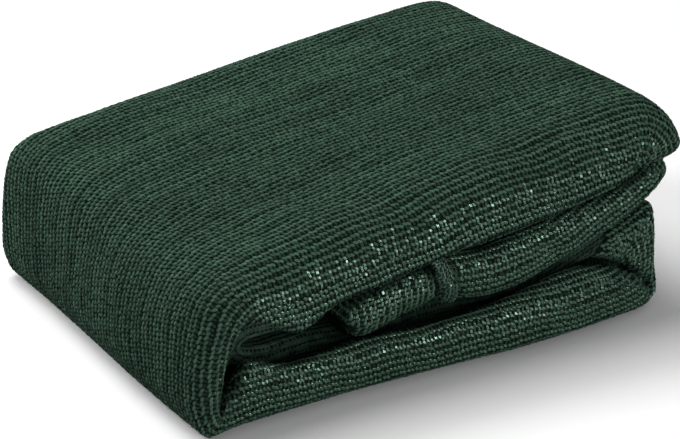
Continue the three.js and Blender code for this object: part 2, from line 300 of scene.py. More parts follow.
# A stitch is one row of numbers: its place and directions, and what is known about it
SPOT = slice(0, 3)
HEIGHT = 2
HEADING = slice(3, 6)
FACING = slice(6, 9)
ORDER = 9
STATION = 10
PLACE = 11
INSIDE = 12
STREAK = 13
# A stitch is kept where its chain lies wholly on the surface, apart from rounding
LEAST_INSIDE = 0.99

# One stitch: its loop from end to end, as length along the chain, share of the width and share of the height
LOOP_STATIONS = ((-0.58, 0.4, 0.1), (-0.24, 0.95, 0.95), (0.22, 1.0, 0.95), (0.60, 0.5, 0.45))
LOOP_PROFILE = ((-1.0, -0.35), (-0.55, 0.8), (0.55, 0.8), (1.0, -0.35))
# The tape of a stitch: share of the way to the next chain, share of its width and share of its lift
TAPE_STATIONS = ((0.10, 0.55, -0.6), (0.34, 1.0, 1.0), (0.66, 1.0, 1.0), (0.90, 0.55, -0.6))
# How much stitches differ: least and most, or most to either side
LOOP_SLANT = (0.45, 0.9)
LOOP_ROLL = 0.26
LOOP_PITCH = 0.4
TAPE_SPREAD = (0.8, 1.2)
TAPE_TWIST = 0.5
TAPE_RUN = (0.0, 0.4)
TAPE_LIFT = (0.25, 0.6)
TAPE_SLOPE = 0.2
# Shapes of a stitch for each side of a chain
STITCH_KINDS = 14
# A stitch turns further about its upright than it leans
TURN_SHARE = 2.5
# Painted light on a stitch: the middle of a tape gets this share of full lightness, the top of a loop gets
# its height, and the sides get none, as painted highlight on the tops and painted shade on the sides and in
# the dips
TAPE_PAINTED_LIGHT = 0.35

# Looks of the stitches: shades for the least and the most of each value, and roughness
PATCH_DETAIL = 3.0
KNIT_PATCHES = 16.0
PATCH_RANGE = (0.3, 0.7)
STITCH_SHADE = (0.84, 1.18)
PATCH_SHADE = (0.9, 1.1)
STREAK_SHADE = (0.88, 1.14)
# Painted highlight on the top of each stitch and painted shade on its sides and in the dips
PAINTED_LIGHT_SHADE = (0.35, 1.4)
CHAIN_FINISH = (0.45, 0.22)
TAPE_FINISH = (0.22, 0.45)
STITCH_GLOSS = 0.28
GLINT_TINT = (0.62, 1.0, 0.74, 1.0)

# Looks of the sheet under them
SHEET_PATCHES = 14.0
SHEET_STITCH_SHADE = (0.72, 1.28)
SHEET_PATCH_SHADE = (0.88, 1.12)
SHEET_FINISH = (0.34, 0.62)
HOLE_FINISH = 0.95
SHEET_GLOSS = 0.12

# The knit drawn on the sheet: warps as scale and reach, then shares of the spacing and of a stitch
KNIT_INPUTS = (
    ("Place", "NodeSocketVector"), ("Chain spacing", "NodeSocketFloat"), ("Stitch length", "NodeSocketFloat"),
)
KNIT_OUTPUTS = ("Chain", "Hole", "Height", "Stitch")
MIDDLE_GREY = (0.5, 0.5, 0.5)
WARP_DETAIL = 1.0
KNIT_WARPS = ((38, 0.0022), (170, 0.0009), (520, 0.0004))
HOLE_WIDTH = 0.24
HOLE_LENGTH = 0.36
HOLE_UNEVEN = 0.45
HOLE_EDGE = (1.35, 0.65)
LEG_PLACE = 0.13
LEG_WIDTH = 0.16
DRAWN_SLANT = 1.6
DRAWN_WAVE = 0.3
CHAIN_HEIGHT = 0.6
TILT_HEIGHT = 0.75
HOLE_DEPTH = 0.75

# Stage, in metres. A lamp has a name, place, aim, size, setting for its power, and whether it gives no glints
FLOOR_REACH = 6.0
FLOOR_LEVEL = -0.0005
FLOOR_ROUGHNESS = 0.9
LAMPS = (
    ("overhead", (-0.15, 0.62, 1.42), (0, 0, 0), 1.2, "key_power", True),
    ("left", (-1.1, 0.9, 1.1), (0, 0, 0), 0.6, "fill_power", True),
    ("front", (-0.35, -1.55, 0.5), (0, 0, 0), 1.0, "front_power", True),
    ("front right", (0.72, -1.27, 0.12), (0, 0, 0), 0.22, "glint_power", False),
    ("upper right", (0.22, -0.58, 0.4), (-0.2, -0.12, 0.03), 0.24, "roll_power", False),
)
ROLL_LAMP = "upper right"
ROLL_SPREAD = math.radians(60)
SENSOR_WIDTH = 36
NEAR_LIMIT = 0.05
FAR_LIMIT = 50


def ease(value, start, end):
    """A smooth step from 0 at start to 1 at end."""
    t = np.clip((value - start) / (end - start), 0, 1)
    return t * t * (3 - 2 * t)


def blend(start, end, share):
    """The value at a share of the way from start to end."""
    return start + (end - start) * share


def lengths(vectors):
    """The length of each vector."""
    return np.linalg.norm(vectors, axis=-1)


def unit(vectors):
    """Vectors of length 1 in the same directions."""
    return vectors / np.maximum(lengths(vectors), LEAST_LENGTH)[..., None]


def dot(first, second):
    """The dot product of each pair of vectors, in a column that can multiply vectors."""
    return (first * second).sum(axis=-1)[..., None]


def run_lengths(points):
    """Length from the first point to each point of a path, or of each row of a grid."""
    steps = lengths(np.diff(points, axis=-2))
    return np.concatenate((np.zeros_like(steps[..., :1]), np.cumsum(steps, axis=-1)), axis=-1)


def smooth_rows():
    """Close sections on smooth curves through the rows of the tables, and their places among the rows."""
    rows = np.array([(*row, gap) for run, gap, _ in RUNS for row in run], float)
    spacing = [step for run, _, step in RUNS for _ in run]
    last = len(rows) - 1
    sections = []
    stations = []
    for i in range(last):
        before = rows[max(i - 1, 0)]
        after = rows[min(i + 2, last)]
        leave = CURVE_TENSION * (rows[i + 1] - before)
        arrive = CURVE_TENSION * (after - rows[i])
        reach = np.hypot(rows[i + 1, 0] - rows[i, 0], rows[i + 1, 1] - rows[i, 1])
        steps = max(int(math.ceil(reach / spacing[i])), 2)
        for t in np.arange(steps) / steps:
            square = t * t
            cube = square * t
            sections.append(
                (2 * cube - 3 * square + 1) * rows[i] + (cube - 2 * square + t) * leave
                + (3 * square - 2 * cube) * rows[i + 1] + (cube - square) * arrive
            )
            stations.append(i + t)
    sections.append(rows[last])
    stations.append(last)
    return dict(zip(COLUMNS, np.array(sections).T)), np.array(stations)


def section_sizes(row, stations):
    """Depths, roundings and turns of every section."""
    front = row["front_y"]
    back = row["back_y"]
    shoulder = row["shoulder"]
    lip_radius = row["lip_radius"]
    depth = np.hypot(row["inner_x"] - row["x"], row["inner_z"] - row["z"])
    lip_depth = np.hypot(row["lip_x"] - row["x"], row["lip_z"] - row["z"])
    back_radius = np.minimum(row["back_radius"], BACK_ROUND_LIMIT * depth)
    behind = back - BEHIND_INSET * back_radius - CLOTH - BEHIND_GAP
    nested = front + NESTED_INSET * shoulder + CLOTH + row["nested_gap"]
    share = np.interp(stations, TUBE_ROWS, NESTED_SHARE)
    return SimpleNamespace(
        front=front, back=back, shoulder=shoulder, lip_radius=lip_radius, depth=depth, lip_depth=lip_depth,
        back_radius=back_radius, behind=behind, nested=nested,
        drop=np.maximum(np.minimum(shoulder, lip_depth - lip_radius - LEAST_STEP), LEAST_STEP),
        back_face=np.maximum(BACK_FACE_SHARE * depth, back_radius),
        behind_turn=behind - BACK_TURN_REACH * depth,
        nested_turn=nested + FRONT_TURN_REACH * depth,
        lip_end=front + np.maximum(2 * lip_radius + LIP_RUN, LIP_RUN_LEAST),
        upper=share * depth,
        lower=(1 - share) * depth,
        none=0 * depth,
    )


def inwards(size, y, down):
    """A point of every section on the way from the outer ply to the inner ply."""
    return y, down / size.depth, size.none


def lipwards(size, y, down):
    """A point of every section on the way from the outer ply to the lip."""
    return y, size.none, down / size.lip_depth


def straight(size, first_y, last_y, first_down, last_down):
    """A straight stretch of every section."""
    return lambda t: inwards(size, blend(first_y, last_y, t), blend(first_down, last_down, t))


def half_turn(size, y, reach, first_down, last_down):
    """A round turn of every section from one ply to the next."""
    return lambda t: inwards(
        size, y + reach * (1 - math.sin(math.pi * t)),
        blend(first_down, last_down, 0.5 * (1 - math.cos(math.pi * t))),
    )


def back_round(size, t):
    """The rounding from the back face to the outer ply."""
    angle = 0.5 * math.pi * t
    radius = size.back_radius
    return inwards(size, size.back - radius * (1 - math.cos(angle)), radius * (1 - math.sin(angle)))


def front_round(size, t):
    """The rounding of the front shoulder."""
    angle = 0.5 * math.pi * t
    y = size.front + size.shoulder * (1 - math.sin(angle))
    return lipwards(size, y, size.drop * (1 - math.cos(angle)))


def front_face(size, t):
    """The front between the shoulder and the lip."""
    return lipwards(size, size.front, blend(size.drop, size.lip_depth - size.lip_radius, t))


def lip_round(size, t):
    """The rounding down to the lowest line of the lip."""
    angle = 0.5 * math.pi * t
    radius = size.lip_radius
    y = size.front + radius * (1 - math.cos(angle))
    return lipwards(size, y, size.lip_depth - radius * (1 - math.sin(angle)))


def lip_return(size, t):
    """The lip's way back to the inner ply, on a curve through its knee."""
    none = size.none
    radius = size.lip_radius
    start = (size.front + radius, none, 1 + none)
    knee_lip = KNEE_LIP * (1 - KNEE_RISE * radius / size.lip_depth)
    knee = (size.front + KNEE_REACH * radius, KNEE_INNER + none, knee_lip)
    end = (size.lip_end, 1 + none, none)
    first = 2 * (t - 0.5) * (t - 1)
    middle = 4 * t * (1 - t)
    last = 2 * t * (t - 0.5)
    return tuple(first * a + middle * b + last * c for a, b, c in zip(start, knee, end))


def outer_stretches(size):
    """What shows: from the free edge at the back over the outer ply to the lip and its way back."""
    edge_y = size.back - FREE_EDGE_INSET
    edge_down = FREE_EDGE_SHARE * size.depth
    round_y = size.back - size.back_radius
    return [
        (FREE_EDGE, straight(size, edge_y, size.back, edge_down, size.back_face)),
        (BACK_FACE, straight(size, size.back, size.back, size.back_face, size.back_radius)),
        (BACK_ROUND, partial(back_round, size)),
        (OUTER_PLY, straight(size, round_y, size.front + size.shoulder, size.none, size.none)),
        (FRONT_ROUND, partial(front_round, size)),
        (FRONT_FACE, partial(front_face, size)),
        (LIP_ROUND, partial(lip_round, size)),
        (LIP_RETURN, partial(lip_return, size)),
    ]


def inner_stretches(size):
    """What lies inside: the inner ply, and the nested plies behind it to their inner end."""
    depth = size.depth
    upper = size.upper
    lower = size.lower
    last_y = blend(size.nested, size.behind, LAST_PLY_SHARE)
    return [
        (INNER_PLY, straight(size, size.lip_end, size.behind_turn, depth, depth)),
        (BEHIND_TURN, half_turn(size, size.behind, -BACK_TURN_REACH * depth, depth, upper)),
        (NESTED_PLY, straight(size, size.behind_turn, size.nested_turn, upper, upper)),
        (NESTED_TURN, half_turn(size, size.nested, FRONT_TURN_REACH * depth, upper, lower)),
        (LAST_PLY, straight(size, size.nested_turn, last_y, lower, lower)),
    ]


def fold_points(row, stations):
    """Points of every section: y, and shares of the ways from the outer ply to the inner ply and the lip."""
    size = section_sizes(row, stations)
    places = []
    points = []
    for (first, last, steps), find in outer_stretches(size) + inner_stretches(size):
        for t in np.arange(steps) / steps:
            places.append(blend(first, last, t))
            points.append(find(t))
    return np.array(points).transpose(2, 0, 1), np.array(places)


def place_points(row, points):
    """Points in space: each ply runs from its front line to its back line."""
    y, inner, lip = points.transpose(2, 0, 1)
    to_back = ease(y, FRONT_LINE_Y, BACK_LINE_Y)
    placed = []
    for side in ("x", "z"):
        start = row[side][:, None]
        placed.append(
            start + (row["inner_" + side][:, None] - start) * inner
            + (row["lip_" + side][:, None] - start) * lip + (row["back_" + side][:, None] - start) * to_back
        )
    x, z = placed
    return np.stack((x, y, np.maximum(z, 0.5 * CLOTH)), axis=-1)


def draw_out_tube(grid, stations, places):
    """Moves the innermost plies of the hemmed end out, forward and down."""
    share = np.interp(places, (TUBE_FIRST_PLACE, TUBE_FULL_PLACE), (0, 1))[None, :]
    grid[..., 0] -= TUBE_REACH * share * np.interp(stations, TUBE_ROWS, TUBE_PULL)[:, None]
    grid[..., 1] -= share * np.interp(stations, TUBE_ROWS, TUBE_FORWARD)[:, None]
    grid[..., 2] += share * np.interp(stations, TUBE_ROWS, TUBE_LIFT)[:, None]


def outward(grid):
    """Outward direction of the cloth at each point."""
    along = np.gradient(grid, axis=0)
    across = np.gradient(grid, axis=1)
    return unit(np.cross(along, across))


def crease(grid, places):
    """Lifts or sinks the outer ply along each crease, fading to its ends."""
    facing = outward(grid)
    lift = np.zeros(grid.shape[:2])
    for start, end, width, height in CREASES:
        run = np.subtract(end, start)
        away = grid - np.array(start)
        share = np.clip(away @ run / (run @ run), 0, 1)
        aside = lengths(away - share[..., None] * run)
        fade = np.sqrt(np.sin(math.pi * np.clip(share, CREASE_END, 1 - CREASE_END)))
        lift += height * np.exp(-(aside / width) ** 2) * fade
    lift *= np.interp(places, CREASED_PLACES, CREASED_SHARE)
    return grid + lift[..., None] * facing


def turned_hem(grid, places):
    """Rows of the hem, from its free edge on the outside to the first row of the strip."""
    inward = unit(grid[HEM_INWARD_ROW] - grid[0])
    out = outward(grid)[0]
    width = np.interp(places, HEM_PLACES, HEM_WIDTHS)[:, None]
    return np.array([grid[0] + share * width * inward + height * out for share, height in HEM_SECTION])


def knit_places(grid, places):
    """Lengths along the strip and across it at each point, for the knit to follow."""
    across = run_lengths(grid)
    middle = int(np.argmin(abs(places - OUTER_POINT)))
    across -= across[:, middle:middle + 1]
    step = lengths(np.diff(grid, axis=0))
    along = np.zeros(grid.shape[:2])
    bands = ((0, LIP_POINT), (LIP_POINT, INNER_POINT), (INNER_POINT, LAST_PLY[1]))
    for start, end in bands:
        band = (places >= start) & (places <= end)
        mean = step[:, band].mean(axis=1)
        along[1:, band] = np.cumsum(mean)[:, None]
    return along, across


def along_path(marks, run, values):
    """Values of a path at marks along its length."""
    return np.stack([np.interp(marks, run, values[:, axis]) for axis in range(values.shape[1])], axis=-1)


def columns_at(lines, across):
    """Where a line lies in each row: its place, the column before it and the share past that column."""
    columns = np.arange(across.shape[1])
    place = np.array([np.interp(line, row, columns) for line, row in zip(lines, across)])
    low = np.minimum(place.astype(int), columns[-1] - 1)
    return place, low, (place - low)[:, None]


def between_columns(values, low, share):
    """Values in each row at a share of the way from one column to the next."""
    rows = np.arange(len(values))
    return blend(values[rows, low], values[rows, low + 1], share)


def chain_stitches(grid, facing, across, marks_on_rows, marks_on_columns, sizes, seed, scale=1.0):
    """Stitches at even lengths on even chains along the rows of a surface, with a chain at each edge."""
    wale = scale * sizes.wale / MM
    course = scale * sizes.course / MM
    zigzag = sizes.zigzag / MM
    chance = np.random.default_rng(seed)
    rows = np.arange(len(grid))
    columns = np.arange(grid.shape[1])
    sway_rows = np.arange(0, len(grid) + SWAY_STEP, SWAY_STEP)
    found = []
    for number in range(math.floor(across.min() / wale), math.ceil(across.max() / wale) + 1):
        sway = chance.normal(0, sizes.sway / MM, len(sway_rows))
        line = number * wale + np.interp(rows, sway_rows, sway)
        column, low, share = columns_at(line, across)
        path = between_columns(grid, low, share)
        out = between_columns(facing, low, share)
        _, next_low, next_share = columns_at(np.full(len(rows), (number + 1) * wale), across)
        to_next = between_columns(grid, next_low, next_share) - path
        inside = ((line > across[:, 0] - wale) & (line < across[:, -1] + wale)).astype(float)
        facts = np.stack((marks_on_rows, np.interp(column, columns, marks_on_columns), inside), axis=-1)

        run = run_lengths(path)
        count = np.arange(1, int(run[-1] / course))
        stagger = 0.5 * (number % 2)
        marks = (count + stagger + chance.uniform(-STITCH_JITTER, STITCH_JITTER, len(count))) * course
        ahead = along_path(marks + HEADING_REACH * course, run, path)
        behind = along_path(marks - HEADING_REACH * course, run, path)
        heading = unit(ahead - behind)
        up = unit(along_path(marks, run, out))
        chord = along_path(marks, run, to_next)
        spread = lengths(chord - dot(chord, heading) * heading)
        every = np.select((spread < 0.5 * CROWDED * wale, spread < CROWDED * wale), (4, 2), 1)
        chord /= np.maximum(lengths(chord), 0.5 * wale)[:, None]
        up = unit(up - CHORD_SHARE * dot(up, chord) * chord)

        order = (count % 2)[:, None]
        stray = zigzag * (1 - 2 * order) + chance.normal(0, STRAY_SHARE * zigzag, order.shape)
        spots = along_path(marks, run, path) + stray * np.cross(up, heading)
        streak = np.full(order.shape, chance.uniform(0, 1))
        stitches = np.hstack((spots, heading, up, order, along_path(marks, run, facts), streak))
        found.append(stitches[number % every == 0])
    stitches = np.vstack(found)
    whole = (stitches[:, INSIDE] > LEAST_INSIDE) & (stitches[:, HEIGHT] > FLOOR_CLEARANCE)
    return stitches[whole]


def net_stitches(net, sizes):
    """Stitches on the outer faces, with the chains along the strip."""
    rows = np.flatnonzero((net.stations >= 0) & (net.stations <= LAST_STITCHED_ROW))
    columns = np.flatnonzero(net.places <= LAST_STITCHED_PLACE)
    part = np.ix_(rows, columns)
    return chain_stitches(net.grid[part], net.facing[part], net.across[part], net.stations[rows],
                          net.places[columns], sizes, STITCH_SEED)


def cross_stitches(net, rows, columns, side, sizes, seed, scale=1.0):
    """Stitches with the chains across the strip, on the outward side of the cloth, 1, or on the other, -1."""
    part = np.ix_(rows, columns)
    grid = net.grid[part].transpose(1, 0, 2)
    facing = side * net.facing[part].transpose(1, 0, 2)
    return chain_stitches(grid, facing, run_lengths(grid), net.places[columns], net.stations[rows],
                          sizes, seed, scale)


def hem_stitches(net, sizes):
    """Stitches on the turned hem, with the chains along its edge."""
    rows = np.flatnonzero(net.stations < HEM_STITCHED_ROW)
    columns = np.flatnonzero(net.places <= LAST_HEM_PLACE)
    return cross_stitches(net, rows, columns, -1, sizes, HEM_SEED, HEM_STITCH_SCALE)


def tube_stitches(net, sizes):
    """Stitches on the drawn-out tube, with the chains round it."""
    rows = np.flatnonzero((net.stations >= 0) & (net.stations <= LAST_TUBE_ROW))[::-1]
    columns = np.flatnonzero(net.places >= FIRST_TUBE_PLACE)
    return cross_stitches(net, rows, columns, 1, sizes, TUBE_SEED)


def feed(tree, socket, value):
    """Links a value from another node to a socket, or sets the socket to a plain value."""
    if isinstance(value, bpy.types.NodeSocket):
        tree.links.new(value, socket)
    else:
        socket.default_value = value


def add_node(tree, kind, values=(), **settings):
    """A new node with its settings, its inputs linked or set by name or number."""
    node = tree.nodes.new(kind)
    for name, value in settings.items():
        setattr(node, name, value)
    for name, value in dict(values).items():
        feed(tree, node.inputs[name], value)
    return node


def sums(tree, operation, *values):
    """The result of a Math node."""
    return add_node(tree, "ShaderNodeMath", dict(enumerate(values)), operation=operation).outputs[0]


def vector_sums(tree, operation, *values):
    """The result of a Vector Math node."""
    return add_node(tree, "ShaderNodeVectorMath", dict(enumerate(values)), operation=operation).outputs[0]


def ramp(tree, value, start, end, low=0.0, high=1.0):
    """A smooth step of a value."""
    node = add_node(
        tree, "ShaderNodeMapRange",
        {"Value": value, "From Min": start, "From Max": end, "To Min": low, "To Max": high},
        interpolation_type="SMOOTHSTEP",
    )
    return node.outputs["Result"]


def mix_colours(tree, share, first, second):
    """The first colour where the share is 0 and the second where it is 1."""
    return add_node(tree, "ShaderNodeMix", {0: share, 6: first, 7: second}, data_type="RGBA").outputs[2]


def shaded(tree, colour, *shades):
    """A colour made lighter or darker by each shade in turn."""
    for shade in shades:
        node = add_node(tree, "ShaderNodeVectorMath", {0: colour, "Scale": shade}, operation="SCALE")
        colour = node.outputs[0]
    return colour


def mesh_value(tree, name):
    """A value that the mesh holds."""
    return add_node(tree, "ShaderNodeAttribute", attribute_name=name).outputs["Fac"]


def new_material(name):
    """A material with no nodes yet."""
    material = bpy.data.materials.new(name)
    material.use_nodes = True
    material.node_tree.nodes.clear()
    return material


def show_surface(tree, values):
    """Ends a material with a surface that has these values."""
    surface = add_node(tree, "ShaderNodeBsdfPrincipled", values)
    add_node(tree, "ShaderNodeOutputMaterial", {"Surface": surface.outputs["BSDF"]})


def centred(tree, value):
    """Where a value lies in its cell, from -0.5 to 0.5."""
    return sums(tree, "SUBTRACT", sums(tree, "FRACT", value), 0.5)


def cell_chance(tree, first, second):
    """Random outputs that are the same all over a cell."""
    corner = {0: sums(tree, "FLOOR", first), 1: sums(tree, "FLOOR", second)}
    cell = add_node(tree, "ShaderNodeCombineXYZ", corner).outputs[0]
    return add_node(tree, "ShaderNodeTexWhiteNoise", {"Vector": cell}, noise_dimensions="2D").outputs


def warped(tree, place):
    """A place on the sheet, shifted by slow and quick noise, so that no drawn chain is straight."""
    moved = place
    for scale, reach in KNIT_WARPS:
        values = {"Vector": place, "Scale": scale, "Detail": WARP_DETAIL}
        noise = add_node(tree, "ShaderNodeTexNoise", values, noise_dimensions="2D")
        shift = vector_sums(tree, "SUBTRACT", noise.outputs["Color"], MIDDLE_GREY)
        moved = vector_sums(tree, "ADD", moved, vector_sums(tree, "MULTIPLY", shift, (reach, reach, 0)))
    return moved


def drawn_holes(tree, along, across):
    """Holes in files between the chains, every other file half a stitch further on."""
    calc = partial(sums, tree)
    odd = calc("FLOORED_MODULO", calc("FLOOR", across), 2.0)
    hole_along = calc("MULTIPLY_ADD", odd, 0.5, along)
    wide = calc("POWER", calc("DIVIDE", centred(tree, across), HOLE_WIDTH), 2.0)
    tall = calc("POWER", calc("DIVIDE", centred(tree, hole_along), HOLE_LENGTH), 2.0)
    distance = calc("SQRT", calc("ADD", wide, tall))
    chance = cell_chance(tree, across, hole_along)["Value"]
    return ramp(tree, calc("MULTIPLY_ADD", chance, HOLE_UNEVEN, distance), *HOLE_EDGE)


def knit_group():
    """The knit: chains along the strip, with tape from chain to chain and a hole between each two tapes."""
    tree = bpy.data.node_groups.new("Knit of the net", "ShaderNodeTree")
    for name, kind in KNIT_INPUTS:
        tree.interface.new_socket(name, in_out="INPUT", socket_type=kind)
    for name in KNIT_OUTPUTS:
        tree.interface.new_socket(name, in_out="OUTPUT", socket_type="NodeSocketFloat")
    given = tree.nodes.new("NodeGroupInput").outputs
    result = tree.nodes.new("NodeGroupOutput").inputs
    calc = partial(sums, tree)
    place = add_node(tree, "ShaderNodeSeparateXYZ", {0: warped(tree, given["Place"])}).outputs
    along = calc("DIVIDE", place["X"], given["Stitch length"])
    across = calc("DIVIDE", place["Y"], given["Chain spacing"])
    hole = drawn_holes(tree, along, across)

    # Chains: two legs beside each other, with the loops as slanted steps along them
    shifted = calc("ADD", across, 0.5)
    from_chain = centred(tree, shifted)
    aside = calc("ABSOLUTE", from_chain)
    leg = ramp(tree, calc("ABSOLUTE", calc("SUBTRACT", aside, LEG_PLACE)), LEG_WIDTH, 0.0)
    slanted = calc("MULTIPLY_ADD", aside, DRAWN_SLANT, along)
    wave = calc("COSINE", calc("MULTIPLY", slanted, 2 * math.pi))
    chain = calc("MULTIPLY", leg, calc("MULTIPLY_ADD", wave, DRAWN_WAVE, 1 - DRAWN_WAVE))

    # Each stitch is turned a little its own way
    chance = cell_chance(tree, shifted, slanted)
    turned = vector_sums(tree, "SUBTRACT", chance["Color"], MIDDLE_GREY)
    lean = add_node(tree, "ShaderNodeSeparateXYZ", {0: turned}).outputs
    lean_along = calc("MULTIPLY", lean["Y"], centred(tree, slanted))
    tilt = calc("MULTIPLY_ADD", lean["X"], from_chain, lean_along)
    height = calc("MULTIPLY_ADD", chain, CHAIN_HEIGHT, calc("MULTIPLY", tilt, TILT_HEIGHT))
    height = calc("MULTIPLY_ADD", hole, -HOLE_DEPTH, height)

    for name, value in zip(KNIT_OUTPUTS, (chain, hole, height, chance["Value"])):
        tree.links.new(value, result[name])
    return tree


def net_material(sizes):
    """The sheet under the stitches: painted near-black below them as their shade, with the knit drawn on it
    where it lies bare and its holes painted dark as shade.
    """
    material = new_material("knitted net")
    tree = material.node_tree
    place = add_node(tree, "ShaderNodeUVMap", uv_map=KNIT_MAP).outputs["UV"]
    knit = add_node(
        tree, "ShaderNodeGroup",
        {"Place": place, "Chain spacing": sizes.wale, "Stitch length": sizes.course},
        node_tree=knit_group(),
    )
    chain, hole, height, stitch = (knit.outputs[name] for name in KNIT_OUTPUTS)

    values = {"Vector": place, "Scale": SHEET_PATCHES, "Detail": PATCH_DETAIL}
    patches = add_node(tree, "ShaderNodeTexNoise", values, noise_dimensions="2D").outputs["Fac"]
    plain = mix_colours(tree, chain, (*sizes.tape_colour, 1), (*sizes.chain_colour, 1))
    varied = shaded(tree, plain, ramp(tree, stitch, 0.0, 1.0, *SHEET_STITCH_SHADE),
                    ramp(tree, patches, *PATCH_RANGE, *SHEET_PATCH_SHADE))
    # Painted shade: the drawn holes and the sheet under the stitches take the near-black hole colour
    painted_shade = sums(tree, "MAXIMUM", hole, mesh_value(tree, COVERED))
    colour = mix_colours(tree, painted_shade, varied, (*sizes.painted_hole_shade, 1))
    matt = sums(tree, "MULTIPLY", painted_shade, HOLE_FINISH)
    finish = sums(tree, "MAXIMUM", ramp(tree, stitch, 0.0, 1.0, *SHEET_FINISH), matt)
    bump = add_node(tree, "ShaderNodeBump", {"Strength": 1.0, "Distance": sizes.relief, "Height": height})
    show_surface(tree, {
        "Base Color": colour, "Roughness": finish, "Normal": bump.outputs["Normal"],
        "Specular IOR Level": SHEET_GLOSS,
    })
    return material


def sheet_object(name, net, material):
    """One open sheet on the net's grid of points, with a map that gives the knit its place."""
    rows, columns = net.grid.shape[:2]
    number = np.arange(rows * columns).reshape(rows, columns)
    around = (number[:-1, :-1], number[1:, :-1], number[1:, 1:], number[:-1, 1:])
    corners = np.stack(around, axis=-1).reshape(-1, 4)
    mesh = bpy.data.meshes.new(name)
    mesh.from_pydata((net.grid.reshape(-1, 3) * MM).tolist(), [], corners.tolist())
    places = np.stack((net.along.ravel(), net.across.ravel()), axis=-1) * MM
    knit_map = mesh.uv_layers.new(name=KNIT_MAP)
    knit_map.data.foreach_set("uv", places[corners.ravel()].ravel())
    covered = mesh.attributes.new(COVERED, "FLOAT", "POINT")
    covered.data.foreach_set("value", net.covered.ravel().astype(float))
    mesh.shade_smooth()
    mesh.materials.append(material)
    mesh.validate()
    piece = bpy.data.objects.new(name, mesh)
    bpy.context.scene.collection.objects.link(piece)
    return piece


def folded_net():
    """The folded net's outer face, with the places on it that the knit follows."""
    row, stations = smooth_rows()
    points, places = fold_points(row, stations)
    grid = place_points(row, points)
    draw_out_tube(grid, stations, places)
    grid = crease(grid, places)
    hem = turned_hem(grid, places)
    grid = np.concatenate((hem, grid))
    stations = np.concatenate((np.linspace(*HEM_STATIONS, len(hem)), stations))
    along, across = knit_places(grid, places)
    for height, length, breadth, start in BENDS:
        across += height * np.sin(2 * math.pi * (along[:, :1] / length + across / breadth) + start)
    row_number = stations[:, None]
    # Where stitches lie, the sheet is later painted near-black as the shade under them
    covered = (row_number <= LAST_TUBE_ROW) & ((places >= FIRST_TUBE_PLACE) | (row_number < 0))
    for _, first_row, last_row, first_place, last_place in STITCHED_PARTS:
        in_rows = (row_number >= first_row) & (row_number <= last_row)
        covered |= in_rows & (places >= first_place) & (places <= last_place)
    facing = outward(grid)
    grid = grid + (0.5 * CLOTH - SHEET_INSET) * facing
    grid[..., 2] = np.maximum(grid[..., 2], 0)
    grid -= (MIDDLE_X, MIDDLE_Y, 0)
    return SimpleNamespace(
        grid=grid, facing=facing, along=along, across=across, stations=stations, places=places,
        covered=covered,
    )


def add_strip(faces, start, stations, ring):
    """Faces between neighbouring rows of points, looking up."""
    for i in range(stations - 1):
        for k in range(ring - 1):
            corner = start + i * ring + k
            faces.append((corner, corner + ring, corner + ring + 1, corner + 1))


def stitch_mesh(name, side, sizes, chance):
    """One stitch: a loop of the chain along X, and the tape that leaves it for the next chain along Y."""
    points = []
    faces = []
    painted_lights = []
    slant = -chance.uniform(*LOOP_SLANT)
    roll = chance.uniform(-LOOP_ROLL, LOOP_ROLL)
    pitch = chance.uniform(-LOOP_PITCH, LOOP_PITCH)
    for place, width, height in LOOP_STATIONS:
        for aside, up in LOOP_PROFILE:
            on_top = up > 0
            rise = (height + pitch * place) * up + roll * aside if on_top else up
            # Painted light: the top of the loop is painted lighter with its height and its sides dark, as
            # painted highlight and shade
            painted_lights.append(height if on_top else 0.0)
            points.append((
                place * sizes.course,
                0.5 * sizes.loop_width * (aside * width + slant * place),
                sizes.relief * rise,
            ))
    add_strip(faces, 0, len(LOOP_STATIONS), len(LOOP_PROFILE))
    middle = len(faces) // 2
    tape_start = len(points)
    tape_width = sizes.tape_width * chance.uniform(*TAPE_SPREAD)
    twist = chance.uniform(-TAPE_TWIST, TAPE_TWIST)
    run = side * chance.uniform(*TAPE_RUN)
    lift = chance.uniform(*TAPE_LIFT)
    slope = chance.uniform(-TAPE_SLOPE, TAPE_SLOPE)
    for share, width, height in TAPE_STATIONS:
        for edge in (0.5, -0.5):
            # Painted light: the middle of the tape is painted partly lit and its ends dark, as painted shade
            painted_lights.append(TAPE_PAINTED_LIGHT if height > 0 else 0.0)
            points.append((
                sizes.course * run * (share - 0.5) + edge * width * tape_width,
                share * sizes.wale,
                sizes.relief * (height * lift + slope * (share - 0.5)) + twist * edge * width * tape_width,
            ))
    add_strip(faces, tape_start, len(TAPE_STATIONS), 2)
    mesh = bpy.data.meshes.new(name)
    mesh.from_pydata(points, [], faces)
    # The top face of the loop and the middle of the tape stay flat, so that each glints as a whole
    flat = (middle, len(faces) - 2)
    mesh.polygons.foreach_set("use_smooth", [n not in flat for n in range(len(faces))])
    tapes = [float(n >= tape_start) for n in range(len(points))]
    for attribute, values in (("tape", tapes), ("crown", painted_lights)):
        mesh.attributes.new(attribute, "FLOAT", "POINT").data.foreach_set("value", values)
    return bpy.data.objects.new(name, mesh)


def point_value(tree, name, kind):
    """A value that each point holds."""
    node = add_node(tree, "GeometryNodeInputNamedAttribute", {"Name": name}, data_type=kind)
    return node.outputs["Attribute"]


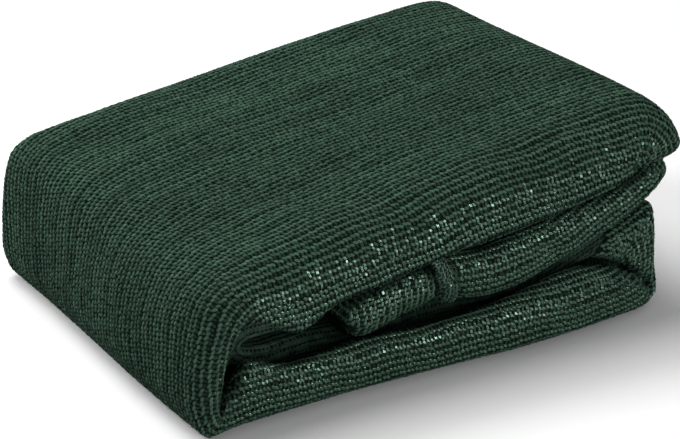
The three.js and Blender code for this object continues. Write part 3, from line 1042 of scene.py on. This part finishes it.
def stitch_rotation(tree, lean, seed):
    """The turn of each stitch: in line with its chain and the cloth, then a little its own way."""
    node = partial(add_node, tree)
    calc = partial(sums, tree)
    facing = point_value(tree, "facing", "FLOAT_VECTOR")
    heading = point_value(tree, "heading", "FLOAT_VECTOR")
    in_line = node("FunctionNodeAxesToRotation", {"Primary Axis": facing, "Secondary Axis": heading},
                   primary_axis="Z", secondary_axis="X").outputs["Rotation"]
    turn = calc("MULTIPLY", lean, TURN_SHARE)
    against = calc("MULTIPLY", lean, -1.0)
    against_turn = calc("MULTIPLY", turn, -1.0)
    least = node("ShaderNodeCombineXYZ", {0: against, 1: against, 2: against_turn}).outputs[0]
    most = node("ShaderNodeCombineXYZ", {0: lean, 1: lean, 2: turn}).outputs[0]
    angles = node("FunctionNodeRandomValue", {0: least, 1: most, "Seed": seed},
                  data_type="FLOAT_VECTOR").outputs[0]
    own_turn = node("FunctionNodeEulerToRotation", {0: angles}).outputs[0]
    return node("FunctionNodeRotateRotation", {"Rotation": in_line, "Rotate By": own_turn},
                rotation_space="LOCAL").outputs["Rotation"]


def stitch_tree():
    """Sets a stitch on each point, in line with its chain, each turned a little its own way."""
    tree = bpy.data.node_groups.new("Stitches on chains", "GeometryNodeTree")
    for name, kind in STITCH_INPUTS:
        tree.interface.new_socket(name, in_out="INPUT", socket_type=kind)
    tree.interface.new_socket("Geometry", in_out="OUTPUT", socket_type="NodeSocketGeometry")
    given = tree.nodes.new("NodeGroupInput").outputs
    result = tree.nodes.new("NodeGroupOutput").inputs
    node = partial(add_node, tree)
    seed = given["Seed"]
    kind = node("FunctionNodeRandomValue", {4: 0, 5: STITCH_KINDS - 1, "Seed": seed},
                data_type="INT").outputs[2]
    chosen = sums(tree, "MULTIPLY_ADD", kind, 2.0, point_value(tree, "order", "FLOAT"))
    rotation = stitch_rotation(tree, given["Lean"], seed)
    stitches = node("GeometryNodeCollectionInfo",
                    {"Collection": given["Stitches"], "Separate Children": True, "Reset Children": True})
    placed = node("GeometryNodeInstanceOnPoints", {
        "Points": given["Geometry"], "Instance": stitches.outputs["Instances"], "Pick Instance": True,
        "Instance Index": chosen, "Rotation": rotation, "Scale": given["Size"],
    })
    chance = node("FunctionNodeRandomValue", {2: 0.0, 3: 1.0, "Seed": seed}, data_type="FLOAT").outputs[1]
    stored = node(
        "GeometryNodeStoreNamedAttribute",
        {"Geometry": placed.outputs["Instances"], "Name": "chance", "Value": chance},
        domain="INSTANCE", data_type="FLOAT",
    )
    real = node("GeometryNodeRealizeInstances", {"Geometry": stored.outputs["Geometry"]})
    finished = node("GeometryNodeSetMaterial",
                    {"Geometry": real.outputs["Geometry"], "Material": given["Material"]})
    tree.links.new(finished.outputs["Geometry"], result["Geometry"])
    return tree


def knit_piece(name, stitches, tree, inputs):
    """The stitches of one part of the net as a plain mesh."""
    guide = bpy.data.meshes.new(name)
    guide.from_pydata((stitches[:, SPOT] * MM).tolist(), [], [])
    for attribute, columns in (("heading", HEADING), ("facing", FACING)):
        data = guide.attributes.new(attribute, "FLOAT_VECTOR", "POINT").data
        data.foreach_set("vector", stitches[:, columns].ravel())
    for attribute, column in (("order", ORDER), ("streak", STREAK)):
        guide.attributes.new(attribute, "FLOAT", "POINT").data.foreach_set("value", stitches[:, column])
    piece = bpy.data.objects.new(name, guide)
    bpy.context.scene.collection.objects.link(piece)
    modifier = piece.modifiers.new("stitches", "NODES")
    modifier.node_group = tree
    for item in tree.interface.items_tree:
        if item.in_out == "INPUT" and item.name in inputs:
            modifier[item.identifier] = inputs[item.name]
    bpy.context.view_layer.update()
    made = piece.evaluated_get(bpy.context.evaluated_depsgraph_get())
    mesh = bpy.data.meshes.new_from_object(made)
    piece.modifiers.clear()
    piece.data = mesh
    mesh.name = name
    bpy.data.meshes.remove(guide)
    return piece


def stitch_material(sizes):
    """Chains and tape, every stitch a little lighter or darker, and more or less glossy, than the next, with
    painted highlight on its top and painted shade on its sides.
    """
    material = new_material("knitted stitches")
    tree = material.node_tree
    chance, tape, streak, crown = (mesh_value(tree, name) for name in ("chance", "tape", "streak", "crown"))
    where = tree.nodes.new("ShaderNodeTexCoord").outputs["Object"]
    values = {"Vector": where, "Scale": KNIT_PATCHES, "Detail": PATCH_DETAIL}
    patches = add_node(tree, "ShaderNodeTexNoise", values).outputs["Fac"]
    plain = mix_colours(tree, tape, (*sizes.chain_colour, 1), (*sizes.tape_colour, 1))
    colour = shaded(
        tree, plain,
        ramp(tree, chance, 0.0, 1.0, *STITCH_SHADE),
        ramp(tree, patches, *PATCH_RANGE, *PATCH_SHADE),
        ramp(tree, streak, 0.0, 1.0, *STREAK_SHADE),
        # Painted highlight on the tops of the loops and painted shade on their sides, on the tape and in the
        # dips
        ramp(tree, crown, 0.0, 1.0, *PAINTED_LIGHT_SHADE),
    )
    chain_finish = ramp(tree, chance, 0.0, 1.0, *CHAIN_FINISH)
    tape_finish = ramp(tree, chance, 0.0, 1.0, *TAPE_FINISH)
    finish = add_node(tree, "ShaderNodeMix", {"Factor": tape, "A": chain_finish, "B": tape_finish})
    show_surface(tree, {
        "Base Color": colour, "Roughness": finish.outputs["Result"], "Specular IOR Level": STITCH_GLOSS,
        "Specular Tint": GLINT_TINT,
    })
    return material


def put_in_place(piece):
    """Tells the frame that a piece of cloth shows the net's solid."""
    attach(piece, "root")
    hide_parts(NET_NODE)


class NetSizes(bpy.types.PropertyGroup):
    """Sizes of the net."""

    wale: bpy.props.FloatProperty(
        name="Chain spacing", description="Distance between two knitted chains",
        default=0.0042, unit="LENGTH",
    )
    course: bpy.props.FloatProperty(
        name="Stitch length", description="Length of one stitch along a chain",
        default=0.00265, unit="LENGTH",
    )
    relief: bpy.props.FloatProperty(
        name="Relief", description="Height of the chains over the holes", default=0.0007, unit="LENGTH",
    )
    loop_width: bpy.props.FloatProperty(
        name="Chain width", description="Width of one knitted chain", default=0.0025, unit="LENGTH",
    )
    tape_width: bpy.props.FloatProperty(
        name="Tape width", description="Width of the tape between two chains", default=0.0014, unit="LENGTH",
    )
    sway: bpy.props.FloatProperty(
        name="Sway", description="How far a chain strays from its line", default=0.0003, unit="LENGTH",
    )
    zigzag: bpy.props.FloatProperty(
        name="Zigzag", description="How far every other stitch is pulled to one side",
        default=0.00025, unit="LENGTH",
    )
    lean: bpy.props.FloatProperty(
        name="Lean", description="How far a stitch may be turned its own way", default=math.radians(3),
        subtype="ANGLE",
    )
    chain_colour: bpy.props.FloatVectorProperty(
        name="Chain", description="Colour of the knitted chains",
        default=(0.0238, 0.0470, 0.0320), subtype="COLOR",
    )
    tape_colour: bpy.props.FloatVectorProperty(
        name="Tape", description="Colour of the flat tape between the chains",
        default=(0.0200, 0.0400, 0.0270), subtype="COLOR",
    )
    # Painted shade: the near-black colour of the sheet under the stitches and of the drawn holes
    painted_hole_shade: bpy.props.FloatVectorProperty(
        name="Hole", description="Colour deep in the holes",
        default=(0.0032, 0.0072, 0.0048), subtype="COLOR",
    )


class StageSettings(bpy.types.PropertyGroup):
    """Floor, light and camera."""

    floor_colour: bpy.props.FloatVectorProperty(
        name="Floor", description="Colour of the pale floor", default=(0.66, 0.66, 0.66), subtype="COLOR",
    )
    key_power: bpy.props.FloatProperty(
        name="Overhead light", description="Power of the large light over the net", default=29, unit="POWER",
    )
    front_power: bpy.props.FloatProperty(
        name="Front light", description="Power of the large light at the front", default=11.5, unit="POWER",
    )
    glint_power: bpy.props.FloatProperty(
        name="Glint light", description="Power of the small low light at the front right",
        default=7, unit="POWER",
    )
    roll_power: bpy.props.FloatProperty(
        name="Roll light", description="Power of the small light on the rolled edges",
        default=0.95, unit="POWER",
    )
    fill_power: bpy.props.FloatProperty(
        name="Left light", description="Power of the light from the left", default=24, unit="POWER",
    )
    room_light: bpy.props.FloatProperty(
        name="Room light", description="Even light from all round", default=0.32, min=0,
    )
    camera_place: bpy.props.FloatVectorProperty(
        name="Camera place", description="Where the camera stands", default=(-0.86217, -1.35785, 0.79405),
        subtype="TRANSLATION",
    )
    camera_azimuth: bpy.props.FloatProperty(
        name="Camera azimuth", description="Turn of the camera about the upright",
        default=math.radians(-32.48), subtype="ANGLE",
    )
    camera_elevation: bpy.props.FloatProperty(
        name="Camera elevation", description="How far the camera looks down", default=math.radians(24.94),
        subtype="ANGLE",
    )
    camera_lens: bpy.props.FloatProperty(
        name="Camera lens", description="Focal length on a 36 mm wide sensor", default=158.82, unit="CAMERA",
    )


class OBJECT_OT_fold_net(bpy.types.Operator):
    """Fold the net into its package."""

    bl_idname = "object.fold_shade_net"
    bl_label = "Fold the net"

    def execute(self, context):
        net = folded_net()
        piece = sheet_object(NET_PIECE, net, net_material(context.scene.net_sizes))
        put_in_place(piece)
        return {"FINISHED"}


class OBJECT_OT_knit_net(bpy.types.Operator):
    """Set the stitches of the knit on the folded net."""

    bl_idname = "object.knit_shade_net"
    bl_label = "Knit the net"

    def execute(self, context):
        sizes = context.scene.net_sizes
        net = folded_net()
        stitches = net_stitches(net, sizes)
        tree = stitch_tree()
        kinds = bpy.data.collections.new("stitches")
        context.scene.collection.children.link(kinds)
        chance = np.random.default_rng(STITCH_SEED)
        for number in range(2 * STITCH_KINDS):
            side = 1 if number % 2 == 0 else -1
            kinds.objects.link(stitch_mesh(f"stitch_{number:02d}", side, sizes, chance))
        inputs = {
            "Stitches": kinds, "Lean": sizes.lean, "Seed": STITCH_SEED, "Material": stitch_material(sizes),
        }
        wander = np.random.default_rng(WANDER_SEED).normal(0, PART_WANDER, len(stitches))
        place = np.maximum(stitches[:, PLACE] + wander, 0)
        parts = [
            ("knit_hem", hem_stitches(net, sizes), HEM_STITCH_SCALE),
            ("knit_tube", tube_stitches(net, sizes), 1.0),
        ]
        for name, first_row, last_row, first_place, last_place in STITCHED_PARTS:
            along = (stitches[:, STATION] >= first_row) & (stitches[:, STATION] < last_row)
            across = (place >= first_place) & (place < last_place)
            parts.append((name, stitches[along & across], 1.0))
        for name, chosen, scale in parts:
            inputs["Size"] = scale
            put_in_place(knit_piece(name, chosen, tree, inputs))
        for stitch in list(kinds.objects):
            bpy.data.objects.remove(stitch)
        bpy.data.collections.remove(kinds)
        return {"FINISHED"}


class OBJECT_OT_net_stage(bpy.types.Operator):
    """Set up the floor, the lights and the camera."""

    bl_idname = "object.shade_net_stage"
    bl_label = "Set the stage"

    def execute(self, context):
        scene = context.scene
        settings = scene.net_stage
        self.add_floor(scene, settings)
        self.add_room(scene, settings)
        for name, place, aim, size, power, soft in LAMPS:
            self.add_light(scene, name, place, aim, size, getattr(settings, power), soft)
        self.keep_to_rolled_edges(bpy.data.objects[ROLL_LAMP])
        self.add_camera(scene, settings)
        scene.view_settings.view_transform = "Standard"
        return {"FINISHED"}

    def add_floor(self, scene, settings):
        """A pale floor that is left out of reflections."""
        sides = ((-1, -1), (1, -1), (1, 1), (-1, 1))
        mesh = bpy.data.meshes.new("floor")
        corners = [(x * FLOOR_REACH, y * FLOOR_REACH, FLOOR_LEVEL) for x, y in sides]
        mesh.from_pydata(corners, [], [(0, 1, 2, 3)])
        floor = bpy.data.objects.new("floor", mesh)
        scene.collection.objects.link(floor)
        material = bpy.data.materials.new("pale floor")
        material.use_nodes = True
        surface = material.node_tree.nodes["Principled BSDF"]
        surface.inputs["Base Color"].default_value = (*settings.floor_colour, 1)
        surface.inputs["Roughness"].default_value = FLOOR_ROUGHNESS
        mesh.materials.append(material)
        floor.visible_glossy = False

    def add_room(self, scene, settings):
        """Even white light from all round that is left out of reflections."""
        world = bpy.data.worlds.new("room")
        world.use_nodes = True
        back = world.node_tree.nodes["Background"]
        back.inputs["Color"].default_value = (1, 1, 1, 1)
        back.inputs["Strength"].default_value = settings.room_light
        scene.world = world
        world.cycles_visibility.glossy = False

    def add_light(self, scene, name, place, aim, size, power, soft):
        """A round lamp that looks at its aim; a soft one is left out of reflections."""
        light = bpy.data.lights.new(name, "AREA")
        light.shape = "DISK"
        light.size = size
        light.energy = power
        lamp = bpy.data.objects.new(name, light)
        lamp.location = place
        lamp.rotation_euler = (Vector(aim) - lamp.location).to_track_quat("-Z", "Y").to_euler()
        lamp.visible_glossy = not soft
        scene.collection.objects.link(lamp)

    def keep_to_rolled_edges(self, lamp):
        """Lets a lamp give glints on the rolled edges, and no other light."""
        lamp.data.spread = ROLL_SPREAD
        lamp.visible_diffuse = False
        shown = bpy.data.collections.new("rolled edges")
        for name in ROLLED_PIECES:
            shown.objects.link(bpy.data.objects[name])
        lamp.light_linking.receiver_collection = shown

    def add_camera(self, scene, settings):
        """A long lens that looks down on the front and the smooth left end."""
        camera = bpy.data.cameras.new("camera")
        camera.sensor_width = SENSOR_WIDTH
        camera.lens = settings.camera_lens
        camera.clip_start = NEAR_LIMIT
        camera.clip_end = FAR_LIMIT
        stand = bpy.data.objects.new("camera", camera)
        stand.location = settings.camera_place
        stand.rotation_euler = (0.5 * math.pi - settings.camera_elevation, 0, settings.camera_azimuth)
        scene.collection.objects.link(stand)
        scene.camera = stand


class VIEW3D_PT_shade_net(bpy.types.Panel):
    """The net's settings and what makes it."""

    bl_label = "Shade net"
    bl_space_type = "VIEW_3D"
    bl_region_type = "UI"
    bl_category = "Shade net"

    def draw(self, context):
        layout = self.layout
        for group in (context.scene.net_sizes, context.scene.net_stage):
            for name in group.__annotations__:
                layout.prop(group, name)
        layout.operator(OBJECT_OT_fold_net.bl_idname)
        layout.operator(OBJECT_OT_knit_net.bl_idname)
        layout.operator(OBJECT_OT_net_stage.bl_idname)


CLASSES = (
    NetSizes, StageSettings, OBJECT_OT_fold_net, OBJECT_OT_knit_net, OBJECT_OT_net_stage, VIEW3D_PT_shade_net,
)


def register():
    for each in CLASSES:
        bpy.utils.register_class(each)
    bpy.types.Scene.net_sizes = bpy.props.PointerProperty(type=NetSizes)
    bpy.types.Scene.net_stage = bpy.props.PointerProperty(type=StageSettings)


def unregister():
    del bpy.types.Scene.net_stage
    del bpy.types.Scene.net_sizes
    for each in reversed(CLASSES):
        bpy.utils.unregister_class(each)


def main():
    register()
    bpy.ops.object.fold_shade_net()
    bpy.ops.object.knit_shade_net()
    bpy.ops.object.shade_net_stage()


if __name__ == "__main__":
    main()
